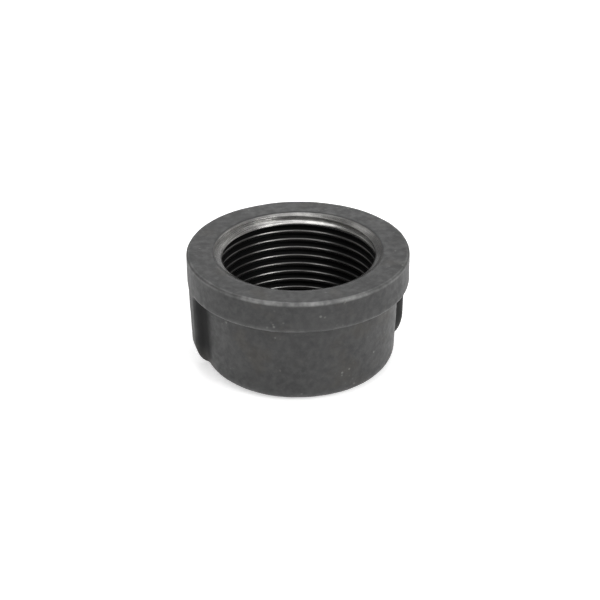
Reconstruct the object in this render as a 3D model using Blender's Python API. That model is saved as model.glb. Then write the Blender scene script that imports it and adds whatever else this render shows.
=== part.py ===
"""A banded pipe cap, standing on its closed end: one iron casting with a tapped, tapered bore.

Metres, +Z out of the open end. The origin is the centre of the closed end's flat outer face,
and the two wrench ribs lie along +X and -X.
"""

import math

import bmesh
import bpy

# Outside of the casting
HEIGHT = 0.0295
BAND_RADIUS = 0.0275
BAND_HEIGHT = 0.00815
RIM_EDGE_RADIUS = 0.00045
BAND_FOOT_RADIUS = 0.0007  # rounding of the band's lower edge
BODY_RADIUS = 0.02475  # under the band
BODY_DRAFT = 0.0006  # what the body's radius loses from the band down to the base
BASE_CORNER_RADIUS = 0.0038

# Wrench ribs, which run down from the band and curve in to the body
RIB_WIDTH = 0.0050
RIB_RADIUS = 0.0273  # under the band
RIB_END_RADIUS = 0.0269  # where the straight face ends and the curve begins
RIB_STRAIGHT_END = HEIGHT - 0.0210
RIB_CURVE_DEPTH = 0.0040  # half axes of the end's elliptical curve
RIB_CURVE_HEIGHT = 0.0062
RIB_ROOT_RADIUS = 0.0235  # inner side, buried in the wall

# Thread: nominal 1-1/4 inch, 11 turns an inch, 55 degrees, taper 1 in 16 on the diameter
THREAD_PITCH = 0.0254 / 11
THREAD_MAJOR_RADIUS = 0.020955  # at the open face
THREAD_DEPTH = 0.001479
THREAD_FLANK_ANGLE = math.radians(27.5)
THREAD_TAPER = 1 / 32  # on the radius
THREAD_LENGTH = 0.0214
THREAD_PHASE = math.radians(300)  # where the groove crosses the plane of the open face

# Inside of the casting
MOUTH_RADIUS = 0.0210  # outer edge of the 45 degree countersink
CHAMBER_RADIUS = 0.0204  # as-cast chamber below the thread
CHAMBER_CORNER_RADIUS = 0.0018
FLOOR_THICKNESS = 0.0040

SEGMENTS = 48  # facets round the axis
CORNER_STEPS = 3
CURVE_STEPS = 6
CUTTER_CLEARANCE = 0.0003  # how far the thread cutter's back stands inside the bore
MERGE_DISTANCE = 0.000001
SHARP_ANGLE = math.radians(30)

IRON_COLOUR = (0.075, 0.074, 0.073, 1.0)


def clear_scene():
    for obj in list(bpy.data.objects):
        bpy.data.objects.remove(obj, do_unlink=True)


def arc(centre, radii, start_deg, end_deg, steps):
    """Points (r, z) along a circle or an ellipse, both ends included."""
    points = []
    for i in range(steps + 1):
        angle = math.radians(start_deg + (end_deg - start_deg) * i / steps)
        r = centre[0] + radii[0] * math.cos(angle)
        z = centre[1] + radii[1] * math.sin(angle)
        points.append((r, z))
    return points


def round_corner(centre, radius, start_deg, end_deg):
    return arc(centre, (radius, radius), start_deg, end_deg, CORNER_STEPS)


def minor_radius(z):
    """Radius of the thread's crests, which shrinks with depth."""
    return THREAD_MAJOR_RADIUS - THREAD_DEPTH - THREAD_TAPER * (HEIGHT - z)


def chamber_top():
    """Height where the thread's 45 degree end chamfer meets the chamber's wall."""
    thread_end = HEIGHT - THREAD_LENGTH
    return thread_end - (CHAMBER_RADIUS - minor_radius(thread_end))


def inner_profile():
    """From the middle of the floor, up the chamber and the bore, to the edge of the mouth."""
    floor = FLOOR_THICKNESS
    corner = (CHAMBER_RADIUS - CHAMBER_CORNER_RADIUS, floor + CHAMBER_CORNER_RADIUS)
    thread_end = HEIGHT - THREAD_LENGTH
    # The countersink falls at 45 degrees until it meets the tapered bore.
    sink = (MOUTH_RADIUS - minor_radius(HEIGHT)) / (1 - THREAD_TAPER)
    points = [(0.0, floor)]
    points += round_corner(corner, CHAMBER_CORNER_RADIUS, -90, 0)
    points.append((CHAMBER_RADIUS, chamber_top()))
    points.append((minor_radius(thread_end), thread_end))
    points.append((MOUTH_RADIUS - sink, HEIGHT - sink))
    points.append((MOUTH_RADIUS, HEIGHT))
    return points


def outer_profile():
    """From the outer edge of the open face, down the band and the body, to the base's middle."""
    rim = RIM_EDGE_RADIUS
    foot = BAND_FOOT_RADIUS
    band_bottom = HEIGHT - BAND_HEIGHT
    base_radius = BODY_RADIUS - BODY_DRAFT
    base_corner = (base_radius - BASE_CORNER_RADIUS, BASE_CORNER_RADIUS)
    points = round_corner((BAND_RADIUS - rim, HEIGHT - rim), rim, 90, 0)
    points += round_corner((BAND_RADIUS - foot, band_bottom + foot), foot, 0, -90)
    points.append((BODY_RADIUS, band_bottom))
    radii = (BASE_CORNER_RADIUS, BASE_CORNER_RADIUS)
    points += arc(base_corner, radii, 0, -90, CURVE_STEPS)
    points.append((0.0, 0.0))
    return points


def turned_casting():
    """The cap without its ribs and thread: its half section, turned about Z."""
    profile = inner_profile() + outer_profile()
    mesh = bpy.data.meshes.new("cap_casting")
    edges = [(i, i + 1) for i in range(len(profile) - 1)]
    mesh.from_pydata([(r, 0.0, z) for r, z in profile], edges, [])
    obj = bpy.data.objects.new("cap_casting", mesh)
    bpy.context.scene.collection.objects.link(obj)
    screw = obj.modifiers.new("turn", "SCREW")
    screw.steps = SEGMENTS
    screw.render_steps = SEGMENTS
    screw.use_merge_vertices = True
    screw.merge_threshold = MERGE_DISTANCE
    return obj


def helper_object(name, bm):
    """A solid that only shapes the casting, so it shows as a wireframe and isn't rendered."""
    bmesh.ops.recalc_face_normals(bm, faces=bm.faces)
    mesh = bpy.data.meshes.new(name)
    bm.to_mesh(mesh)
    bm.free()
    obj = bpy.data.objects.new(name, mesh)
    obj.hide_render = True
    obj.display_type = "WIRE"
    bpy.context.scene.collection.objects.link(obj)
    return obj


def wrench_rib(name, turn):
    """One rib: its side outline, extruded across its width and turned about Z."""
    top = HEIGHT - BAND_HEIGHT / 2
    centre = (RIB_END_RADIUS - RIB_CURVE_DEPTH, RIB_STRAIGHT_END)
    curve = arc(centre, (RIB_CURVE_DEPTH, RIB_CURVE_HEIGHT), 0, -90, CURVE_STEPS)
    outline = [(RIB_ROOT_RADIUS, top), (RIB_RADIUS, top)]
    outline.append((RIB_RADIUS, HEIGHT - BAND_HEIGHT))
    outline += [(r, z) for r, z in curve if r > RIB_ROOT_RADIUS]
    outline.append((RIB_ROOT_RADIUS, outline[-1][1]))
    bm = bmesh.new()
    face = bm.faces.new([bm.verts.new((r, -RIB_WIDTH / 2, z)) for r, z in outline])
    swept = bmesh.ops.extrude_face_region(bm, geom=[face])
    moved = [item for item in swept["geom"] if isinstance(item, bmesh.types.BMVert)]
    bmesh.ops.translate(bm, vec=(0.0, RIB_WIDTH, 0.0), verts=moved)
    obj = helper_object(name, bm)
    obj.rotation_euler.z = turn
    return obj


def groove_section(z):
    """(r, z) corners of the cutter where the groove's middle is at height z."""
    back = minor_radius(z) - CUTTER_CLEARANCE
    root = minor_radius(z) + THREAD_DEPTH
    half_root = THREAD_PITCH / 4 - THREAD_DEPTH / 2 * math.tan(THREAD_FLANK_ANGLE)
    half_back = half_root + (root - back) * math.tan(THREAD_FLANK_ANGLE)
    return [
        (back, z - half_back),
        (root, z - half_root),
        (root, z + half_root),
        (back, z + half_back),
    ]


def thread_cutter():
    """The right-hand groove as a solid: sections round a helix, each joined to the next.

    It starts in the free air of the mouth and ends in that of the chamber.
    """
    step = 2 * math.pi / SEGMENTS
    rise = THREAD_PITCH / SEGMENTS
    first = math.floor((chamber_top() - HEIGHT) / rise)
    phase_steps = round(THREAD_PHASE / step)
    last = SEGMENTS // 2
    bm = bmesh.new()
    rings = []
    for i in range(first, last + 1):
        angle = (i + phase_steps) * step
        ring = []
        for r, z in groove_section(HEIGHT + i * rise):
            place = (r * math.cos(angle), r * math.sin(angle), z)
            ring.append(bm.verts.new(place))
        rings.append(ring)
    for lower, upper in zip(rings, rings[1:]):
        for i in range(len(lower)):
            j = (i + 1) % len(lower)
            bm.faces.new((lower[i], lower[j], upper[j], upper[i]))
    bm.faces.new(rings[0])
    bm.faces.new(rings[-1])
    return helper_object("thread_cutter", bm)


def add_boolean(obj, other, operation):
    boolean = obj.modifiers.new(other.name, "BOOLEAN")
    boolean.object = other
    boolean.operation = operation
    boolean.solver = "EXACT"


def shade_by_angle(obj):
    """Fixes the modifiers' result as the mesh, smooth but for its sharp edges."""
    graph = bpy.context.evaluated_depsgraph_get()
    mesh = bpy.data.meshes.new_from_object(obj.evaluated_get(graph))
    mesh.name = obj.name
    obj.modifiers.clear()
    obj.data = mesh
    mesh.shade_smooth()
    mesh.set_sharp_from_angle(angle=SHARP_ANGLE)


def iron_material():
    material = bpy.data.materials.new("black_iron")
    material.use_nodes = True
    shader = material.node_tree.nodes["Principled BSDF"]
    shader.inputs["Base Color"].default_value = IRON_COLOUR
    shader.inputs["Metallic"].default_value = 0.6
    shader.inputs["Roughness"].default_value = 0.55
    return material


def build_cap():
    cap = turned_casting()
    ribs = [wrench_rib("rib_right", 0.0), wrench_rib("rib_left", math.pi)]
    cutter = thread_cutter()
    for rib in ribs:
        add_boolean(cap, rib, "UNION")
    add_boolean(cap, cutter, "DIFFERENCE")
    bpy.context.view_layer.update()
    shade_by_angle(cap)
    for helper in ribs + [cutter]:
        bpy.data.objects.remove(helper, do_unlink=True)
    cap.data.materials.clear()
    cap.data.materials.append(iron_material())


clear_scene()
build_cap()
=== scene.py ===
"""The finished look of the banded pipe cap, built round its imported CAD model.

The casting is one closed skin: rows of points round the axis, from the middle of the floor, up the
threaded bore, over the rim, down the band, the body and its ribs, to the middle of the base.
"""

import math

import bpy
import numpy as np
from mathutils import Matrix, Vector, noise


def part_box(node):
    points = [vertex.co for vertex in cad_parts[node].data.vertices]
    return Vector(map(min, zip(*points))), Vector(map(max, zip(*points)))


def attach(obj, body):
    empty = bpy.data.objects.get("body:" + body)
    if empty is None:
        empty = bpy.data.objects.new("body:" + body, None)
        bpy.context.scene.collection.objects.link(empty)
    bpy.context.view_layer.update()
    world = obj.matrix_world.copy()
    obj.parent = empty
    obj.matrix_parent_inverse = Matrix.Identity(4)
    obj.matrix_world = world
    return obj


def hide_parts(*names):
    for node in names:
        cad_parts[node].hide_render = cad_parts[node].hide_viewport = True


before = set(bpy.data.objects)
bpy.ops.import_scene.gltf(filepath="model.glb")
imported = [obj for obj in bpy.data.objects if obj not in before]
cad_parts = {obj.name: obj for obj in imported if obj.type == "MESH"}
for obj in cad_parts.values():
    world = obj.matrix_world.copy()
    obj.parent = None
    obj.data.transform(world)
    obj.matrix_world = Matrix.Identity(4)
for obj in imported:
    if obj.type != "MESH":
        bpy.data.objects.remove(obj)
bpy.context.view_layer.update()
_, cap_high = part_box("cap_casting")

MM = 0.001

# Outside of the casting. The CAD model has no fillet under the band, and a sharper foot to it.
BAND_RADIUS = cap_high.x
HEIGHT = cap_high.z
BAND_HEIGHT = 8.15 * MM
RIM_EDGE_RADIUS = 0.45 * MM
BAND_FOOT_RADIUS = 1.0 * MM
BODY_RADIUS = 24.75 * MM
BODY_DRAFT = 0.6 * MM
BAND_FILLET = 0.9 * MM
BASE_CORNER_RADIUS = 3.8 * MM

# Wrench ribs
RIB_HALF_WIDTH = 2.5 * MM
RIB_RADIUS = 27.4 * MM  # under the band
RIB_FACE_DRAFT = 0.03  # radius that the outer face loses per unit down
RIB_SIDE_DRAFT = 0.07  # half width that a rib gains per unit in from its outer face
RIB_STRAIGHT_END = HEIGHT - 21.0 * MM
RIB_CURVE_DEPTH = 4.0 * MM  # half axes of the end's elliptical curve
RIB_CURVE_HEIGHT = 6.2 * MM
RIB_EDGE_RADIUS = 0.7 * MM
RIB_FILLET = 1.1 * MM

# Bore: 11 turns an inch, 55 degree form, taper 1 in 16 on the diameter
THREAD_PITCH = 25.4 * MM / 11
THREAD_MAJOR_RADIUS = 20.955 * MM
THREAD_DEPTH = 1.479 * MM
THREAD_CREST = 0.75 * MM  # width of the crests before rounding: the tapped bore is a little wide
THREAD_CREST_ROUNDING = 0.61 * MM
THREAD_ROOT_ROUNDING = 0.14 * MM
THREAD_FLANK_ANGLE = math.radians(27.5)
THREAD_TAPER = 1 / 32
THREAD_LENGTH = 21.4 * MM
THREAD_PHASE = math.radians(300)  # where the groove crosses the plane of the open face
MOUTH_RADIUS = 21.0 * MM
MOUTH_EDGE_BREAK = 0.2 * MM
EDGE_BREAK_MIDDLE = (0.3, 0.35)  # outwards from the mouth's edge and down, in edge breaks
EDGE_BREAK_END = 1.4  # how far out the rim's flat face starts, in edge breaks
LIP = 0.75 * MM  # how far the first crest is rolled in under the countersink
LIP_MIDDLE = 1.6 * MM  # depth under the open face
LIP_SLANT = 0.6 * MM  # how much deeper its middle is on the deep side
LIP_DEEP_SIDE = math.radians(85)
LIP_REACH = 0.55 * MM  # up and down from its middle
CHAMBER_RADIUS = 20.4 * MM
CHAMBER_CORNER_RADIUS = 1.8 * MM
FLOOR_THICKNESS = 4.0 * MM

# Points of the skin: columns round the axis, and the steps that rows make along each stretch
COLUMNS = 396
COLUMN_CROWDING = 7.0  # how much closer together the columns are at a rib's sides
CROWDING_REACH = 0.35  # in half widths of a rib
CROWDING_SAMPLES = 20001
FLOOR_STEPS = 11
CHAMBER_CORNER_STEPS = 6
CREST_STEPS = 3
ROOT_STEPS = 4
SPARE_TURNS = 4  # turns of thread rows beyond the thread's zone, half of them at each end
ROW_GAP = 0.02 * MM  # a thread row nearer than this to the end of its zone joins the end
RIM_FACE_STEPS = 13
RIM_EDGE_STEPS = 5
BAND_SIDE_STEPS = 12
BAND_FOOT_STEPS = 5
BODY_STEPS = 38
BASE_CORNER_STEPS = 14
BASE_STEPS = 11

# The outline of the body and its ribs is found by halving a stretch that reaches this far past both
SEARCH_INSIDE = 1 * MM
SEARCH_OUTSIDE = 2 * MM
SEARCH_HALVINGS = 32

# Where there is little room, a rounding shrinks to this share of the step that it softens
RIB_FILLET_SHARE = 0.5
BAND_ROUNDING_SHARE = 0.45

# How far the sand's waves move the cast skin, and how many there are to a metre
CAST_WAVES = ((0.07 * MM, 110), (0.035 * MM, 300), (0.012 * MM, 650))
WAVES_SHIFT = (3, 1)  # keeps each size of wave on its own part of the noise
WAVES_START = (0.1 * MM, 1.2 * MM)  # distance from the mouth's edge, where the rim is flat

# Depths under the open face: where the skin gives way to cut metal, and where the mouth's lighter metal
# ends. Below it the crests are painted darker, as painted shade deeper in the bore
CUT_START = (0.02 * MM, 0.3 * MM)
MOUTH_METAL_END = (3.0 * MM, 3.5 * MM)
MOUTH_METAL_SLANT = 0.57 * MM  # how much deeper it ends on one side, since it follows the thread
MOUTH_METAL_SIDE = math.radians(-15)

# Painted shade: the mouth's metal is painted dull away from one side of the mouth, between these angles
# from it
BRIGHT_SIDE = math.radians(80)
SIDE_SHADE_ANGLES = (math.radians(58), math.radians(98))

# Painted shade: black on the groove's flanks by depth, as a share of the full depth, and dark in the
# ribs' corners
BLACK_DEPTHS = (0.075, 0.19)
ROOT_SHADE = 0.13  # what the painted shade in the root of the mouth's first turn counts as, against those depths
ROOT_DEPTHS = (0.84, 0.99)
NOOK_SHADE_REACH = (0.5 * MM, 4.0 * MM)  # how far the painted shade spreads from the corner
NOOK_SHADE_TOP_FADE = 0.2 * MM

# Wear of the rounded edges, with a painted highlight on the rim's edge towards one side and on the
# band's foot
WORN_CURVATURES = (500, 1300)  # per metre
MOUTH_UNWORN = (0.6 * MM, 1.2 * MM)  # distance from the mouth's edge, which has no wear or painted highlight
WEAR_AND_HIGHLIGHT_SIDE = math.radians(-100)  # the rim's edge has the most wear on this side, and its painted highlight
WEAR_AND_HIGHLIGHT_SPREAD = math.radians(42)
LEAST_RIM_WEAR_AND_HIGHLIGHT = 0.3
BAND_FOOT_WEAR_AND_HIGHLIGHT = 0.25
RIB_WEAR = 0.05

SKIN_DARK = (0.024, 0.024, 0.0245, 1)
SKIN_LIGHT = (0.034, 0.034, 0.034, 1)
SKIN_PALE = (0.048, 0.048, 0.047, 1)
SKIN_GRAIN = (0.075, 0.075, 0.073, 1)
RUST = (0.043, 0.037, 0.028, 1)
SPECK = (0.16, 0.16, 0.15, 1)
# Real wear and a painted highlight on the rounded edges
WORN_AND_LIT = (0.30, 0.30, 0.295, 1)
# Painted shade: dull metal on the mouth away from its bright side
SHADED_METAL = (0.055, 0.054, 0.053, 1)
METAL_LIGHT = (0.42, 0.415, 0.40, 1)
METAL_DARK = (0.26, 0.255, 0.25, 1)
# Painted shade: the crests below the mouth are darker than the mouth's metal
CREST = (0.15, 0.147, 0.143, 1)
# Painted shade: near black in the grooves below the mouth
GROOVE_SHADE = (0.003, 0.003, 0.003, 1)
# Painted shade in the corners between the ribs and the body
NOOK_SHADE = (0.005, 0.005, 0.005, 1)

# How much of each colour shows where it is strongest
PALE_SHARE = 0.6
GRAIN_SHARE = 0.3
RUST_SHARE = 0.35
SPECK_SHARE = 0.6
NOOK_SHADE_SHARE = 0.9
WORN_AND_LIT_SHARE = 0.85
SHADED_METAL_SHARE = 0.95

# How many of each there are to a metre
PATCHES = 150
MOTTLES = 620
GRAINS = 2400
RUST_PATCHES = 105
SPECK_CLUSTERS = 230
SPECKS = 700
SMUDGES = 240
TURNING_MARKS = (60, 60, 9000)  # along x, y and z

# Roughness, metallic share and the bumps' depth. A pair is for the low and the high end of a noise.
SKIN_ROUGHNESS = (0.6, 0.5)
NOOK_SHADE_ROUGHNESS = 0.85
METAL_ROUGHNESS = (0.22, 0.32)
GROOVE_ROUGHNESS = 0.5
SKIN_METALLIC = 0.25
WORN_AND_LIT_METALLIC = 0.8
MOUTH_METALLIC = 0.75
CREST_METALLIC = 1.0
GROOVE_METALLIC = 0.6
MOTTLE_DEPTH = 0.06 * MM
GRAIN_DEPTH = 0.02 * MM
MARK_DEPTH = 0.025 * MM


# ---------------------------------------------------------------- profile helpers


def arc(centre, radius, start_deg, end_deg, steps):
    """Points (r, z) along a circle, both ends included."""
    angles = np.radians(np.linspace(start_deg, end_deg, steps + 1))
    r = centre[0] + radius * np.cos(angles)
    z = centre[1] + radius * np.sin(angles)
    return list(zip(r, z))


def line(start, end, steps):
    """Points (r, z) along a straight stretch, without its ends."""
    share = np.linspace(0, 1, steps + 1)[1:-1]
    r = start[0] + (end[0] - start[0]) * share
    z = start[1] + (end[1] - start[1]) * share
    return list(zip(r, z))


def minor_radius(z):
    return THREAD_MAJOR_RADIUS - THREAD_DEPTH - THREAD_TAPER * (HEIGHT - z)


# ---------------------------------------------------------------- columns


def column_angles():
    """Angles round the axis, crowded where the ribs' sides need more points."""
    grid = np.linspace(0, 2 * math.pi, CROWDING_SAMPLES)
    side = RIB_HALF_WIDTH / BODY_RADIUS
    density = np.ones_like(grid)
    for rib in (0, math.pi, 2 * math.pi):
        for edge in (rib - side, rib + side):
            spread = (grid - edge) / (CROWDING_REACH * side)
            density += COLUMN_CROWDING * np.exp(-spread * spread)
    total = np.concatenate([[0], np.cumsum((density[1:] + density[:-1]) / 2)])
    return np.interp(np.arange(COLUMNS) / COLUMNS, total / total[-1], grid)


ANGLES = column_angles()


# ---------------------------------------------------------------- outside


def rib_reach(z):
    """How far from the axis the ribs' outer face is at height z, or 0 below their ends."""
    below = max(0.0, RIB_STRAIGHT_END - z) / RIB_CURVE_HEIGHT
    if below > 1:
        return 0.0
    curve = math.sqrt(1 - below * below)
    face = RIB_RADIUS - RIB_FACE_DRAFT * (HEIGHT - BAND_HEIGHT - max(z, RIB_STRAIGHT_END))
    return face - RIB_CURVE_DEPTH + RIB_CURVE_DEPTH * curve


def outline_distance(r, body, reach, fillet):
    """Signed distance to the outline of a body circle with two ribs, at radius r of each column."""
    x = np.abs(r * np.cos(ANGLES))
    y = np.abs(r * np.sin(ANGLES))
    to_body = r - body
    rounding = RIB_EDGE_RADIUS
    side = y - (RIB_HALF_WIDTH + RIB_SIDE_DRAFT * (reach - x)) + rounding
    front = x - reach + rounding
    outside = np.hypot(np.maximum(side, 0), np.maximum(front, 0))
    to_rib = outside + np.minimum(np.maximum(side, front), 0) - rounding
    near = np.hypot(np.maximum(fillet - to_body, 0), np.maximum(fillet - to_rib, 0))
    return np.maximum(fillet, np.minimum(to_body, to_rib)) - near


def outline(body, z):
    """Radius of each column where the body's radius is body at height z."""
    reach = rib_reach(z)
    if reach <= body:
        return np.full(COLUMNS, body)
    fillet = min(RIB_FILLET, RIB_FILLET_SHARE * (reach - body))
    low = np.full(COLUMNS, body - SEARCH_INSIDE)
    high = np.full(COLUMNS, RIB_RADIUS + SEARCH_OUTSIDE)
    for _ in range(SEARCH_HALVINGS):
        middle = (low + high) / 2
        inside = outline_distance(middle, body, reach, fillet) < 0
        low = np.where(inside, middle, low)
        high = np.where(inside, high, middle)
    return (low + high) / 2


def rim_rows():
    """From the mouth's broken edge, over the rim face, to the band's side."""
    edge = RIM_EDGE_RADIUS
    out, down = EDGE_BREAK_MIDDLE
    face_start = (MOUTH_RADIUS + MOUTH_EDGE_BREAK * EDGE_BREAK_END, HEIGHT)
    face_end = (BAND_RADIUS - edge, HEIGHT)
    side_end = (BAND_RADIUS, HEIGHT - BAND_HEIGHT + BAND_FOOT_RADIUS)
    profile = [(MOUTH_RADIUS + MOUTH_EDGE_BREAK * out, HEIGHT - MOUTH_EDGE_BREAK * down)]
    profile.append(face_start)
    profile += line(face_start, face_end, RIM_FACE_STEPS)
    profile += arc((BAND_RADIUS - edge, HEIGHT - edge), edge, 90, 0, RIM_EDGE_STEPS)
    profile += line((BAND_RADIUS, HEIGHT - edge), side_end, BAND_SIDE_STEPS)
    return [(np.full(COLUMNS, r), np.full(COLUMNS, z)) for r, z in profile]


def band_foot_rows():
    """Round the band's lower edge, in under it, and down the fillet on to the body."""
    bottom = HEIGHT - BAND_HEIGHT
    wall_top = bottom - BAND_FILLET
    wall = outline(BODY_RADIUS, wall_top)
    step = BAND_RADIUS - wall
    edge = np.minimum(BAND_FOOT_RADIUS, BAND_ROUNDING_SHARE * step)
    fillet = np.minimum(BAND_FILLET, BAND_ROUNDING_SHARE * step)
    angles = np.radians(np.linspace(0, 90, BAND_FOOT_STEPS + 1))
    rows = []
    for angle in angles:
        r = BAND_RADIUS - edge * (1 - math.cos(angle))
        z = bottom + BAND_FOOT_RADIUS * (1 - math.sin(angle))
        rows.append((r, np.full(COLUMNS, z)))
    for angle in angles:
        r = wall + fillet * (1 - math.sin(angle))
        z = bottom - BAND_FILLET * (1 - math.cos(angle))
        rows.append((r, np.full(COLUMNS, z)))
    return rows


def body_rows():
    """Down the body and its ribs, round the base's corner and in to the axis."""
    top = HEIGHT - BAND_HEIGHT - BAND_FILLET
    foot = BASE_CORNER_RADIUS
    base_radius = BODY_RADIUS - BODY_DRAFT
    flat = base_radius - BASE_CORNER_RADIUS
    profile = line((BODY_RADIUS, top), (base_radius, foot), BODY_STEPS)
    profile += arc((flat, foot), BASE_CORNER_RADIUS, 0, -90, BASE_CORNER_STEPS)
    rows = [(outline(r, z), np.full(COLUMNS, z)) for r, z in profile]
    for r, z in line((flat, 0.0), (0.0, 0.0), BASE_STEPS):
        rows.append((np.full(COLUMNS, r), np.full(COLUMNS, z)))
    return rows


# ---------------------------------------------------------------- inside


def floor_rows():
    """From just off the axis, over the floor and up the as-cast chamber to the thread's end."""
    floor = FLOOR_THICKNESS
    corner = (CHAMBER_RADIUS - CHAMBER_CORNER_RADIUS, floor + CHAMBER_CORNER_RADIUS)
    profile = line((0.0, floor), (corner[0], floor), FLOOR_STEPS)
    profile += arc(corner, CHAMBER_CORNER_RADIUS, -90, 0, CHAMBER_CORNER_STEPS)
    profile.append((CHAMBER_RADIUS, chamber_top()))
    return [(np.full(COLUMNS, r), np.full(COLUMNS, z)) for r, z in profile]


def chamber_top():
    thread_end = HEIGHT - THREAD_LENGTH
    return thread_end - (CHAMBER_RADIUS - minor_radius(thread_end))


def thread_section():
    """(height, depth) of one turn of the thread's form, from one crest up to the next."""
    sweep = math.pi / 2 - THREAD_FLANK_ANGLE
    crest = THREAD_CREST_ROUNDING
    root = THREAD_ROOT_ROUNDING
    flat = THREAD_CREST / 2 - crest * math.tan(sweep / 2)
    section = []
    for t in np.linspace(-sweep, 0, CREST_STEPS + 1):
        section.append((crest * math.sin(t) - flat, crest * (1 - math.cos(t))))
    for t in np.linspace(0, sweep, CREST_STEPS + 1):
        section.append((crest * math.sin(t) + flat, crest * (1 - math.cos(t))))
    for t in np.linspace(-sweep, sweep, ROOT_STEPS + 1):
        section.append((THREAD_PITCH / 2 + root * math.sin(t), THREAD_DEPTH - root * (1 - math.cos(t))))
    return section


def thread_rows():
    """Rows that climb with the helix: their height and radius at each column.

    The rows start below the thread's zone and end above it, as the spare turns say.
    """
    section = thread_section()
    turns = math.ceil(THREAD_LENGTH / THREAD_PITCH) + SPARE_TURNS
    # A crest stands half a pitch from the groove, which crosses the open face at the phase angle.
    below_face = turns - SPARE_TURNS / 2 - 0.5 + THREAD_PHASE / (2 * math.pi)
    start = HEIGHT - THREAD_PITCH * below_face
    climb = THREAD_PITCH * ANGLES / (2 * math.pi)
    rows = []
    for turn in range(turns):
        for height, depth in section:
            z = start + climb + THREAD_PITCH * turn + height
            rows.append((z, minor_radius(z) + depth))
    return rows, len(section)


def plain_bore_radius(z):
    """The bore as it is before the groove is cut: tapered, with a countersink and an end chamfer."""
    countersink = MOUTH_RADIUS + (z - HEIGHT)
    thread_end = HEIGHT - THREAD_LENGTH
    chamfer = minor_radius(thread_end) + (thread_end - z)
    return np.maximum(minor_radius(z), np.maximum(countersink, chamfer))


def lip(z):
    """How far the first crest is rolled in at each column, at height z."""
    middle = LIP_MIDDLE + LIP_SLANT * np.cos(ANGLES - LIP_DEEP_SIDE)
    return LIP * np.exp(-(((HEIGHT - z - middle) / LIP_REACH) ** 2))


# ---------------------------------------------------------------- skin


class Skin:
    """Points and rows of the surface. A row is its points here, and those a column further on.

    Each point has its depth in the groove, from 0 on a crest to 1 at the root, or -1 off the thread.
    """

    def __init__(self):
        self.points = []
        self.depths = []
        self.count = 0
        self.rows = []

    def add_points(self, r, z, depth):
        place = np.stack([r * np.cos(ANGLES), r * np.sin(ANGLES), z], axis=-1)
        self.points.append(place)
        self.depths.append(depth)
        index = self.count + np.arange(COLUMNS)
        self.count += COLUMNS
        return index

    def add_ring(self, r, z, depth=-1.0):
        here = self.add_points(r, z, np.full(COLUMNS, depth))
        self.rows.append((here, np.roll(here, -1)))
        return here

    def add_pole(self, z):
        self.points.append(np.array([[0.0, 0.0, z]]))
        self.depths.append(np.array([-1.0]))
        here = np.full(COLUMNS, self.count)
        self.count += 1
        self.rows.append((here, here))

    def faces(self):
        """Quads between each row and the next, with repeated corners left out."""
        found = []
        for (a, a_next), (b, b_next) in zip(self.rows, self.rows[1:]):
            for corners in zip(a.tolist(), b.tolist(), b_next.tolist(), a_next.tolist()):
                kept = list(dict.fromkeys(corners))
                if len(kept) > 2:
                    found.append(kept)
        return found


def add_thread(skin, bottom_ring):
    """The helical rows, which join the chamber's ring below and the mouth's ring above."""
    top = HEIGHT - MOUTH_EDGE_BREAK
    top_radius = np.full(COLUMNS, MOUTH_RADIUS - MOUTH_EDGE_BREAK)
    rows, per_turn = thread_rows()
    grid = []
    top_ring = skin.add_points(top_radius, np.full(COLUMNS, top), np.zeros(COLUMNS))
    for z, thread in rows:
        plain = plain_bore_radius(z)
        r = np.maximum(thread, plain)
        depth = (r - plain) / THREAD_DEPTH
        index = skin.add_points(r - lip(z) * np.clip(1 - depth, 0, 1), z, depth)
        index = np.where(z > top - ROW_GAP, top_ring, index)
        index = np.where(z < chamber_top() + ROW_GAP, bottom_ring, index)
        grid.append(index)
    for k, here in enumerate(grid):
        after = np.roll(here, -1)
        above = k + per_turn
        after[-1] = grid[above][0] if above < len(grid) else top_ring[0]
        skin.rows.append((here, after))
    skin.rows.append((top_ring, np.roll(top_ring, -1)))


def cap_skin():
    skin = Skin()
    skin.add_pole(FLOOR_THICKNESS)
    ring = None
    for r, z in floor_rows():
        ring = skin.add_ring(r, z)
    add_thread(skin, ring)
    for r, z in rim_rows() + band_foot_rows() + body_rows():
        skin.add_ring(r, z)
    skin.add_pole(0.0)
    return skin


def compact(points, depths, faces):
    """Leaves out the points that no face uses."""
    used = sorted({i for face in faces for i in face})
    new = np.full(len(points), -1)
    new[used] = np.arange(len(used))
    return points[used], depths[used], [[int(new[i]) for i in face] for face in faces]


# ---------------------------------------------------------------- mesh


def read_vectors(mesh, name):
    values = np.zeros(len(mesh.vertices) * 3)
    mesh.vertices.foreach_get(name, values)
    return values.reshape(-1, 3)


def write_mask(mesh, name, values):
    mask = mesh.attributes.new(name, "FLOAT", "POINT")
    mask.data.foreach_set("value", values.astype(np.float32))


def convex_curvature(mesh, points):
    """How sharply the surface turns away at each point, per metre: high on rounded edges."""
    edges = np.zeros(len(mesh.edges) * 2, dtype=np.int64)
    mesh.edges.foreach_get("vertices", edges)
    a, b = edges.reshape(-1, 2).T
    normals = read_vectors(mesh, "normal")
    step = points[b] - points[a]
    turn = np.einsum("ij,ij->i", step, normals[b] - normals[a])
    turn /= np.einsum("ij,ij->i", step, step)
    most = np.zeros(len(points))
    np.maximum.at(most, a, turn)
    np.maximum.at(most, b, turn)
    return most


def smooth_step(values, low, high):
    share = np.clip((values - low) / (high - low), 0, 1)
    return share * share * (3 - 2 * share)


def cast_waviness(points, normals, cast):
    """The points, moved in and out as sand leaves a casting. Machined points stay."""
    move = np.zeros(len(points))
    for i in np.nonzero(cast > 0)[0]:
        place = Vector(points[i])
        waves = 0.0
        for height, per_metre in CAST_WAVES:
            shift = Vector((per_metre, *WAVES_SHIFT))
            waves += height * noise.noise(place * per_metre + shift)
        move[i] = waves
    return points + normals * (move * cast)[:, None]


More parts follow.
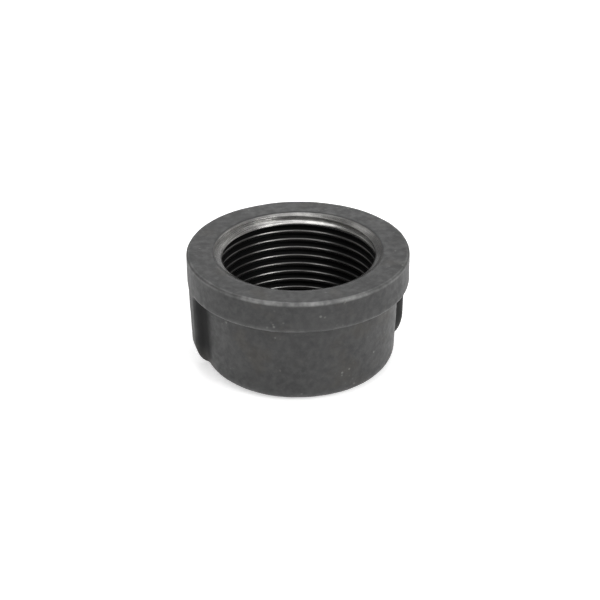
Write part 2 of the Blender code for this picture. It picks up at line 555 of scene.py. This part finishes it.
def angle_from(points, side):
    """Each point's angle round the axis from the given side, between -pi and pi."""
    away = np.arctan2(points[:, 1], points[:, 0]) - side
    return (away + math.pi) % (2 * math.pi) - math.pi


def from_mouth_edge(points):
    """Each point's distance from the edge between the rim's face and the countersink."""
    return np.hypot(np.hypot(points[:, 0], points[:, 1]) - MOUTH_RADIUS, points[:, 2] - HEIGHT)


def edge_wear_and_highlight(mesh, points):
    """Wear of the rounded edges with a painted highlight: most on one side of the rim, least on the
    ribs.
    """
    z = points[:, 2]
    rubbed_and_lit = np.exp(-(angle_from(points, WEAR_AND_HIGHLIGHT_SIDE) / WEAR_AND_HIGHLIGHT_SPREAD) ** 2)
    rim_wear_and_highlight = LEAST_RIM_WEAR_AND_HIGHLIGHT + (1 - LEAST_RIM_WEAR_AND_HIGHLIGHT) * rubbed_and_lit
    most = np.where(z > HEIGHT - BAND_HEIGHT / 2, rim_wear_and_highlight, BAND_FOOT_WEAR_AND_HIGHLIGHT)
    most = np.where(z > HEIGHT - BAND_HEIGHT - BAND_FILLET, most, RIB_WEAR)
    most *= smooth_step(from_mouth_edge(points), *MOUTH_UNWORN)
    return most * smooth_step(convex_curvature(mesh, points), *WORN_CURVATURES)


def painted_nook_shade(points):
    """Painted shade: 1 in the corner between a rib and the body, falling to 0 away from it."""
    x, y, z = np.abs(points).T
    corner_x = math.sqrt(BODY_RADIUS * BODY_RADIUS - RIB_HALF_WIDTH * RIB_HALF_WIDTH)
    distance = np.hypot(x - corner_x, y - RIB_HALF_WIDTH)
    under_band = smooth_step(HEIGHT - BAND_HEIGHT - z, -NOOK_SHADE_TOP_FADE, NOOK_SHADE_TOP_FADE)
    above_end = smooth_step(z, RIB_STRAIGHT_END - RIB_CURVE_HEIGHT, RIB_STRAIGHT_END)
    return (1 - smooth_step(distance, *NOOK_SHADE_REACH)) * under_band * above_end


def write_bore_masks(mesh, points, depths, as_cast):
    """The first turn at the mouth keeps lighter metal, but for its root. Below it the crests are darker
    and the grooves black: painted shade, deeper in the bore.
    """
    below_face = HEIGHT - points[:, 2]
    slant = MOUTH_METAL_SLANT * np.cos(angle_from(points, MOUTH_METAL_SIDE))
    below_mouth = smooth_step(below_face - slant, *MOUTH_METAL_END)
    # painted shade on the mouth's metal away from its bright side
    side_shade = smooth_step(np.abs(angle_from(points, BRIGHT_SIDE)), *SIDE_SHADE_ANGLES)
    root_shade = ROOT_SHADE * smooth_step(depths, *ROOT_DEPTHS)
    write_mask(mesh, "machined", np.where(as_cast, 0, smooth_step(below_face, *CUT_START)))
    write_mask(mesh, "mouth", 1 - below_mouth)
    write_mask(mesh, "side_shade", (1 - below_mouth) * side_shade)
    write_mask(mesh, "groove", np.maximum(depths * below_mouth, root_shade))


def cap_mesh():
    skin = cap_skin()
    points = np.concatenate(skin.points)
    depths = np.concatenate(skin.depths)
    points, depths, faces = compact(points, depths, skin.faces())
    mesh = bpy.data.meshes.new("pipe_cap")
    mesh.from_pydata(points.tolist(), [], faces)
    mesh.update()
    as_cast = depths < 0
    write_bore_masks(mesh, points, depths, as_cast)
    write_mask(mesh, "edge", np.where(as_cast, edge_wear_and_highlight(mesh, points), 0))
    write_mask(mesh, "nook_shade", np.where(as_cast, painted_nook_shade(points), 0))
    cast = np.where(as_cast, smooth_step(from_mouth_edge(points), *WAVES_START), 0)
    moved = cast_waviness(points, read_vectors(mesh, "normal"), cast)
    mesh.vertices.foreach_set("co", moved.ravel())
    mesh.update()
    mesh.shade_smooth()
    return mesh


# ---------------------------------------------------------------- materials


class Nodes:
    """A material's nodes, added and joined in one call each."""

    def __init__(self, name):
        self.material = bpy.data.materials.new(name)
        self.material.use_nodes = True
        self.tree = self.material.node_tree
        self.shader = self.tree.nodes["Principled BSDF"]

    def plug(self, value, socket):
        """Joins an output to the socket, or sets the socket to a plain value."""
        if isinstance(value, bpy.types.NodeSocket):
            self.tree.links.new(value, socket)
        else:
            socket.default_value = value

    def position(self):
        return self.tree.nodes.new("ShaderNodeTexCoord").outputs["Object"]

    def mask(self, name):
        node = self.tree.nodes.new("ShaderNodeAttribute")
        node.attribute_name = name
        return node.outputs["Fac"]

    def stretched(self, place, scale):
        node = self.tree.nodes.new("ShaderNodeMapping")
        self.plug(place, node.inputs["Vector"])
        node.inputs["Scale"].default_value = scale
        return node.outputs["Vector"]

    def noise(self, place, scale, detail=3.0, roughness=0.55):
        node = self.tree.nodes.new("ShaderNodeTexNoise")
        self.plug(place, node.inputs["Vector"])
        node.inputs["Scale"].default_value = scale
        node.inputs["Detail"].default_value = detail
        node.inputs["Roughness"].default_value = roughness
        return node.outputs["Fac"]

    def cells(self, place, scale):
        node = self.tree.nodes.new("ShaderNodeTexVoronoi")
        self.plug(place, node.inputs["Vector"])
        node.inputs["Scale"].default_value = scale
        return node.outputs["Distance"]

    def remap(self, value, low, high, to_low, to_high):
        """A number that eases from to_low to to_high as the value goes from low to high."""
        node = self.tree.nodes.new("ShaderNodeMapRange")
        node.interpolation_type = "SMOOTHSTEP"
        for socket, number in zip(node.inputs, (value, low, high, to_low, to_high)):
            self.plug(number, socket)
        return node.outputs["Result"]

    def maths(self, operation, a, b):
        node = self.tree.nodes.new("ShaderNodeMath")
        node.operation = operation
        self.plug(a, node.inputs[0])
        self.plug(b, node.inputs[1])
        return node.outputs["Value"]

    def mix(self, share, a, b):
        """A colour between a and b."""
        node = self.tree.nodes.new("ShaderNodeMix")
        node.data_type = "RGBA"
        self.plug(share, node.inputs["Factor"])
        self.plug(a, node.inputs[6])
        self.plug(b, node.inputs[7])
        return node.outputs[2]

    def blend(self, share, a, b):
        """A number between a and b."""
        node = self.tree.nodes.new("ShaderNodeMix")
        self.plug(share, node.inputs["Factor"])
        self.plug(a, node.inputs["A"])
        self.plug(b, node.inputs["B"])
        return node.outputs["Result"]

    def bump(self, height, depth, strength, below=None):
        """Bumps as deep as depth where the height runs from 0 to 1."""
        node = self.tree.nodes.new("ShaderNodeBump")
        self.plug(height, node.inputs["Height"])
        node.inputs["Distance"].default_value = depth
        self.plug(strength, node.inputs["Strength"])
        if below:
            self.plug(below, node.inputs["Normal"])
        return node.outputs["Normal"]


def skin_colour(nodes, place, patches, mottle, grain):
    """Black cast skin: patches, mottling and grain, a little rust, and light specks in clusters."""
    skin = nodes.mix(nodes.remap(patches, 0.3, 0.7, 0, 1), SKIN_DARK, SKIN_LIGHT)
    skin = nodes.mix(nodes.remap(mottle, 0.35, 0.75, 0, PALE_SHARE), skin, SKIN_PALE)
    skin = nodes.mix(nodes.remap(grain, 0.55, 0.8, 0, GRAIN_SHARE), skin, SKIN_GRAIN)
    rust = nodes.remap(nodes.noise(place, RUST_PATCHES, 4), 0.52, 0.68, 0, RUST_SHARE)
    skin = nodes.mix(rust, skin, RUST)
    clusters = nodes.remap(nodes.noise(place, SPECK_CLUSTERS, 2), 0.56, 0.7, 0, SPECK_SHARE)
    specks = nodes.remap(nodes.cells(place, SPECKS), 0.1, 0.32, 1, 0)
    return nodes.mix(nodes.maths("MULTIPLY", specks, clusters), skin, SPECK)


def metal_colour(nodes, place, mouth, black):
    """Cut metal: smudged at the mouth and painted dull away from one side of it, with darker crests and
    black grooves below it. The dulling, the darker crests and the black are painted shade.
    """
    smudges = nodes.noise(place, SMUDGES, 4, 0.6)
    side_shade = nodes.maths("MULTIPLY", nodes.mask("side_shade"), SHADED_METAL_SHARE)
    metal = nodes.mix(nodes.remap(smudges, 0.35, 0.7, 0, 1), METAL_LIGHT, METAL_DARK)
    metal = nodes.mix(side_shade, metal, SHADED_METAL)
    # painted shade: darker crests below the mouth
    metal = nodes.mix(mouth, CREST, metal)
    return nodes.mix(black, metal, GROOVE_SHADE)


def iron_material():
    nodes = Nodes("black_iron")
    place = nodes.position()
    machined = nodes.mask("machined")
    mouth = nodes.mask("mouth")
    nook_shade = nodes.mask("nook_shade")
    patches = nodes.noise(place, PATCHES, 3)
    mottle = nodes.noise(place, MOTTLES, 4, 0.6)
    grain = nodes.noise(place, GRAINS, 3, 0.6)
    turned = nodes.noise(nodes.stretched(place, TURNING_MARKS), 1, 3, 0.6)
    # painted shade: black in the grooves below the mouth and in the root of its first turn
    black = nodes.remap(nodes.mask("groove"), *BLACK_DEPTHS, 0, 1)
    worn_and_lit = nodes.maths("MULTIPLY", nodes.mask("edge"), nodes.remap(mottle, 0.35, 0.65, 0.6, 1))
    worn_and_lit = nodes.maths("MULTIPLY", worn_and_lit, nodes.remap(patches, 0.35, 0.6, 0.5, 1))

    skin = skin_colour(nodes, place, patches, mottle, grain)
    # painted shade: the ribs' corners are darkened and given less sheen
    skin = nodes.mix(nodes.maths("MULTIPLY", nook_shade, NOOK_SHADE_SHARE), skin, NOOK_SHADE)
    # edges: real wear and a painted highlight
    skin = nodes.mix(nodes.maths("MULTIPLY", worn_and_lit, WORN_AND_LIT_SHARE), skin, WORN_AND_LIT)
    metal = metal_colour(nodes, place, mouth, black)
    nodes.plug(nodes.mix(machined, skin, metal), nodes.shader.inputs["Base Color"])

    skin_rough = nodes.remap(mottle, 0.3, 0.7, *SKIN_ROUGHNESS)
    skin_rough = nodes.blend(nook_shade, skin_rough, NOOK_SHADE_ROUGHNESS)
    metal_rough = nodes.remap(turned, 0.3, 0.7, *METAL_ROUGHNESS)
    metal_rough = nodes.blend(black, metal_rough, GROOVE_ROUGHNESS)
    nodes.plug(nodes.blend(machined, skin_rough, metal_rough), nodes.shader.inputs["Roughness"])

    skin_metallic = nodes.remap(nook_shade, 0, 1, SKIN_METALLIC, 0)
    skin_metallic = nodes.blend(worn_and_lit, skin_metallic, WORN_AND_LIT_METALLIC)
    metal_metallic = nodes.remap(mouth, 0, 1, CREST_METALLIC, MOUTH_METALLIC)
    metal_metallic = nodes.blend(black, metal_metallic, GROOVE_METALLIC)
    nodes.plug(nodes.blend(machined, skin_metallic, metal_metallic), nodes.shader.inputs["Metallic"])

    cast = nodes.maths("SUBTRACT", 1, machined)
    sand = nodes.bump(mottle, MOTTLE_DEPTH, cast)
    sand = nodes.bump(grain, GRAIN_DEPTH, cast, sand)
    nodes.plug(nodes.bump(turned, MARK_DEPTH, machined, sand), nodes.shader.inputs["Normal"])
    return nodes.material


# ---------------------------------------------------------------- stage


CAMERA_AZIMUTH = math.radians(-15.5)
CAMERA_DISTANCE = 355.85 * MM
CAMERA_HEIGHT = 184.03 * MM
CAMERA_PITCH = math.radians(29.13)
CAMERA_ROLL = math.radians(-0.345)
CAMERA_YAW = math.radians(-0.065)
CAMERA_LENS = 97.57
CAMERA_SENSOR = 36
CAMERA_NEAR_LIMIT = 10 * MM

HORIZON_STRENGTH = 0.6
DARK_ABOVE = math.sin(math.radians(48))  # the studio's walls are pale and its ceiling is dark
FLOOR_HALF = 3.0  # half its width
FLOOR_COLOUR = (0.92, 0.92, 0.92, 1)
FLOOR_ROUGHNESS = 0.9
FLOOR_GLOW = 0.5
WHITE = (1, 1, 1, 1)
# Name, azimuth to the camera's right and elevation in degrees, width and height in metres, watts
LIGHTS = (
    ("overhead", 171, 79, 0.46, 0.34, 2.1),
    ("top_front", 0, 60, 0.55, 0.4, 1.15),
    ("key_right", 47, 34, 0.28, 0.28, 2.2),
    ("fill_left", -34, 33, 0.26, 0.26, 0.65),
    ("back_low", 180, 24, 0.3, 0.3, 0.85),
    ("back_right", 120, 25, 0.3, 0.3, 0.2),
    ("side_left", -110, 35, 0.3, 0.3, 0.17),
)
LIGHT_DISTANCE = 0.7


def make_camera():
    camera = bpy.data.cameras.new("camera")
    camera.lens = CAMERA_LENS
    camera.sensor_width = CAMERA_SENSOR
    camera.clip_start = CAMERA_NEAR_LIMIT
    obj = bpy.data.objects.new("camera", camera)
    bpy.context.scene.collection.objects.link(obj)
    place = Matrix.Translation((0, -CAMERA_DISTANCE, HEIGHT + CAMERA_HEIGHT))
    turn = Matrix.Rotation(CAMERA_YAW, 4, "Z")
    tilt = Matrix.Rotation(math.pi / 2 - CAMERA_PITCH, 4, "X")
    roll = Matrix.Rotation(CAMERA_ROLL, 4, "Z")
    obj.matrix_world = Matrix.Rotation(CAMERA_AZIMUTH, 4, "Z") @ place @ turn @ tilt @ roll
    bpy.context.scene.camera = obj


def area_light(name, azimuth, elevation, width, height, power):
    """A soft light aimed at the cap, with the azimuth counted from the camera to its right."""
    light = bpy.data.lights.new(name, "AREA")
    light.shape = "RECTANGLE"
    light.size = width
    light.size_y = height
    light.energy = power
    obj = bpy.data.objects.new(name, light)
    bpy.context.scene.collection.objects.link(obj)
    around = CAMERA_AZIMUTH + math.radians(azimuth) - math.pi / 2
    up = math.radians(elevation)
    aim = Vector((0, 0, HEIGHT / 2))
    away = Vector((math.cos(around) * math.cos(up), math.sin(around) * math.cos(up), math.sin(up)))
    obj.location = aim + away * LIGHT_DISTANCE
    obj.rotation_euler = away.to_track_quat("Z", "Y").to_euler()


def make_floor():
    """A white table that glows a little, so that it holds no hard shadow."""
    mesh = bpy.data.meshes.new("floor")
    half = FLOOR_HALF
    corners = [(-half, -half, 0), (half, -half, 0), (half, half, 0), (-half, half, 0)]
    mesh.from_pydata(corners, [], [(0, 1, 2, 3)])
    floor = bpy.data.objects.new("floor", mesh)
    bpy.context.scene.collection.objects.link(floor)
    nodes = Nodes("pale_floor")
    nodes.shader.inputs["Base Color"].default_value = FLOOR_COLOUR
    nodes.shader.inputs["Roughness"].default_value = FLOOR_ROUGHNESS
    nodes.shader.inputs["Emission Color"].default_value = WHITE
    nodes.shader.inputs["Emission Strength"].default_value = FLOOR_GLOW
    mesh.materials.append(nodes.material)


def make_world():
    """Pale at the horizon, and dark overhead."""
    world = bpy.data.worlds.new("studio")
    world.use_nodes = True
    tree = world.node_tree
    direction = tree.nodes.new("ShaderNodeTexCoord")
    split = tree.nodes.new("ShaderNodeSeparateXYZ")
    fade = tree.nodes.new("ShaderNodeMapRange")
    tree.links.new(direction.outputs["Generated"], split.inputs["Vector"])
    tree.links.new(split.outputs["Z"], fade.inputs["Value"])
    fade.inputs["From Min"].default_value = 0
    fade.inputs["From Max"].default_value = DARK_ABOVE
    fade.inputs["To Min"].default_value = HORIZON_STRENGTH
    fade.inputs["To Max"].default_value = 0
    background = tree.nodes["Background"]
    background.inputs["Color"].default_value = WHITE
    tree.links.new(fade.outputs["Result"], background.inputs["Strength"])
    bpy.context.scene.world = world


cap = bpy.data.objects.new("pipe_cap", cap_mesh())
bpy.context.scene.collection.objects.link(cap)
cap.data.materials.append(iron_material())
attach(cap, "root")
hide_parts("cap_casting")
make_camera()
make_floor()
make_world()
for light in LIGHTS:
    area_light(*light)
bpy.context.scene.view_settings.view_transform = "Standard"
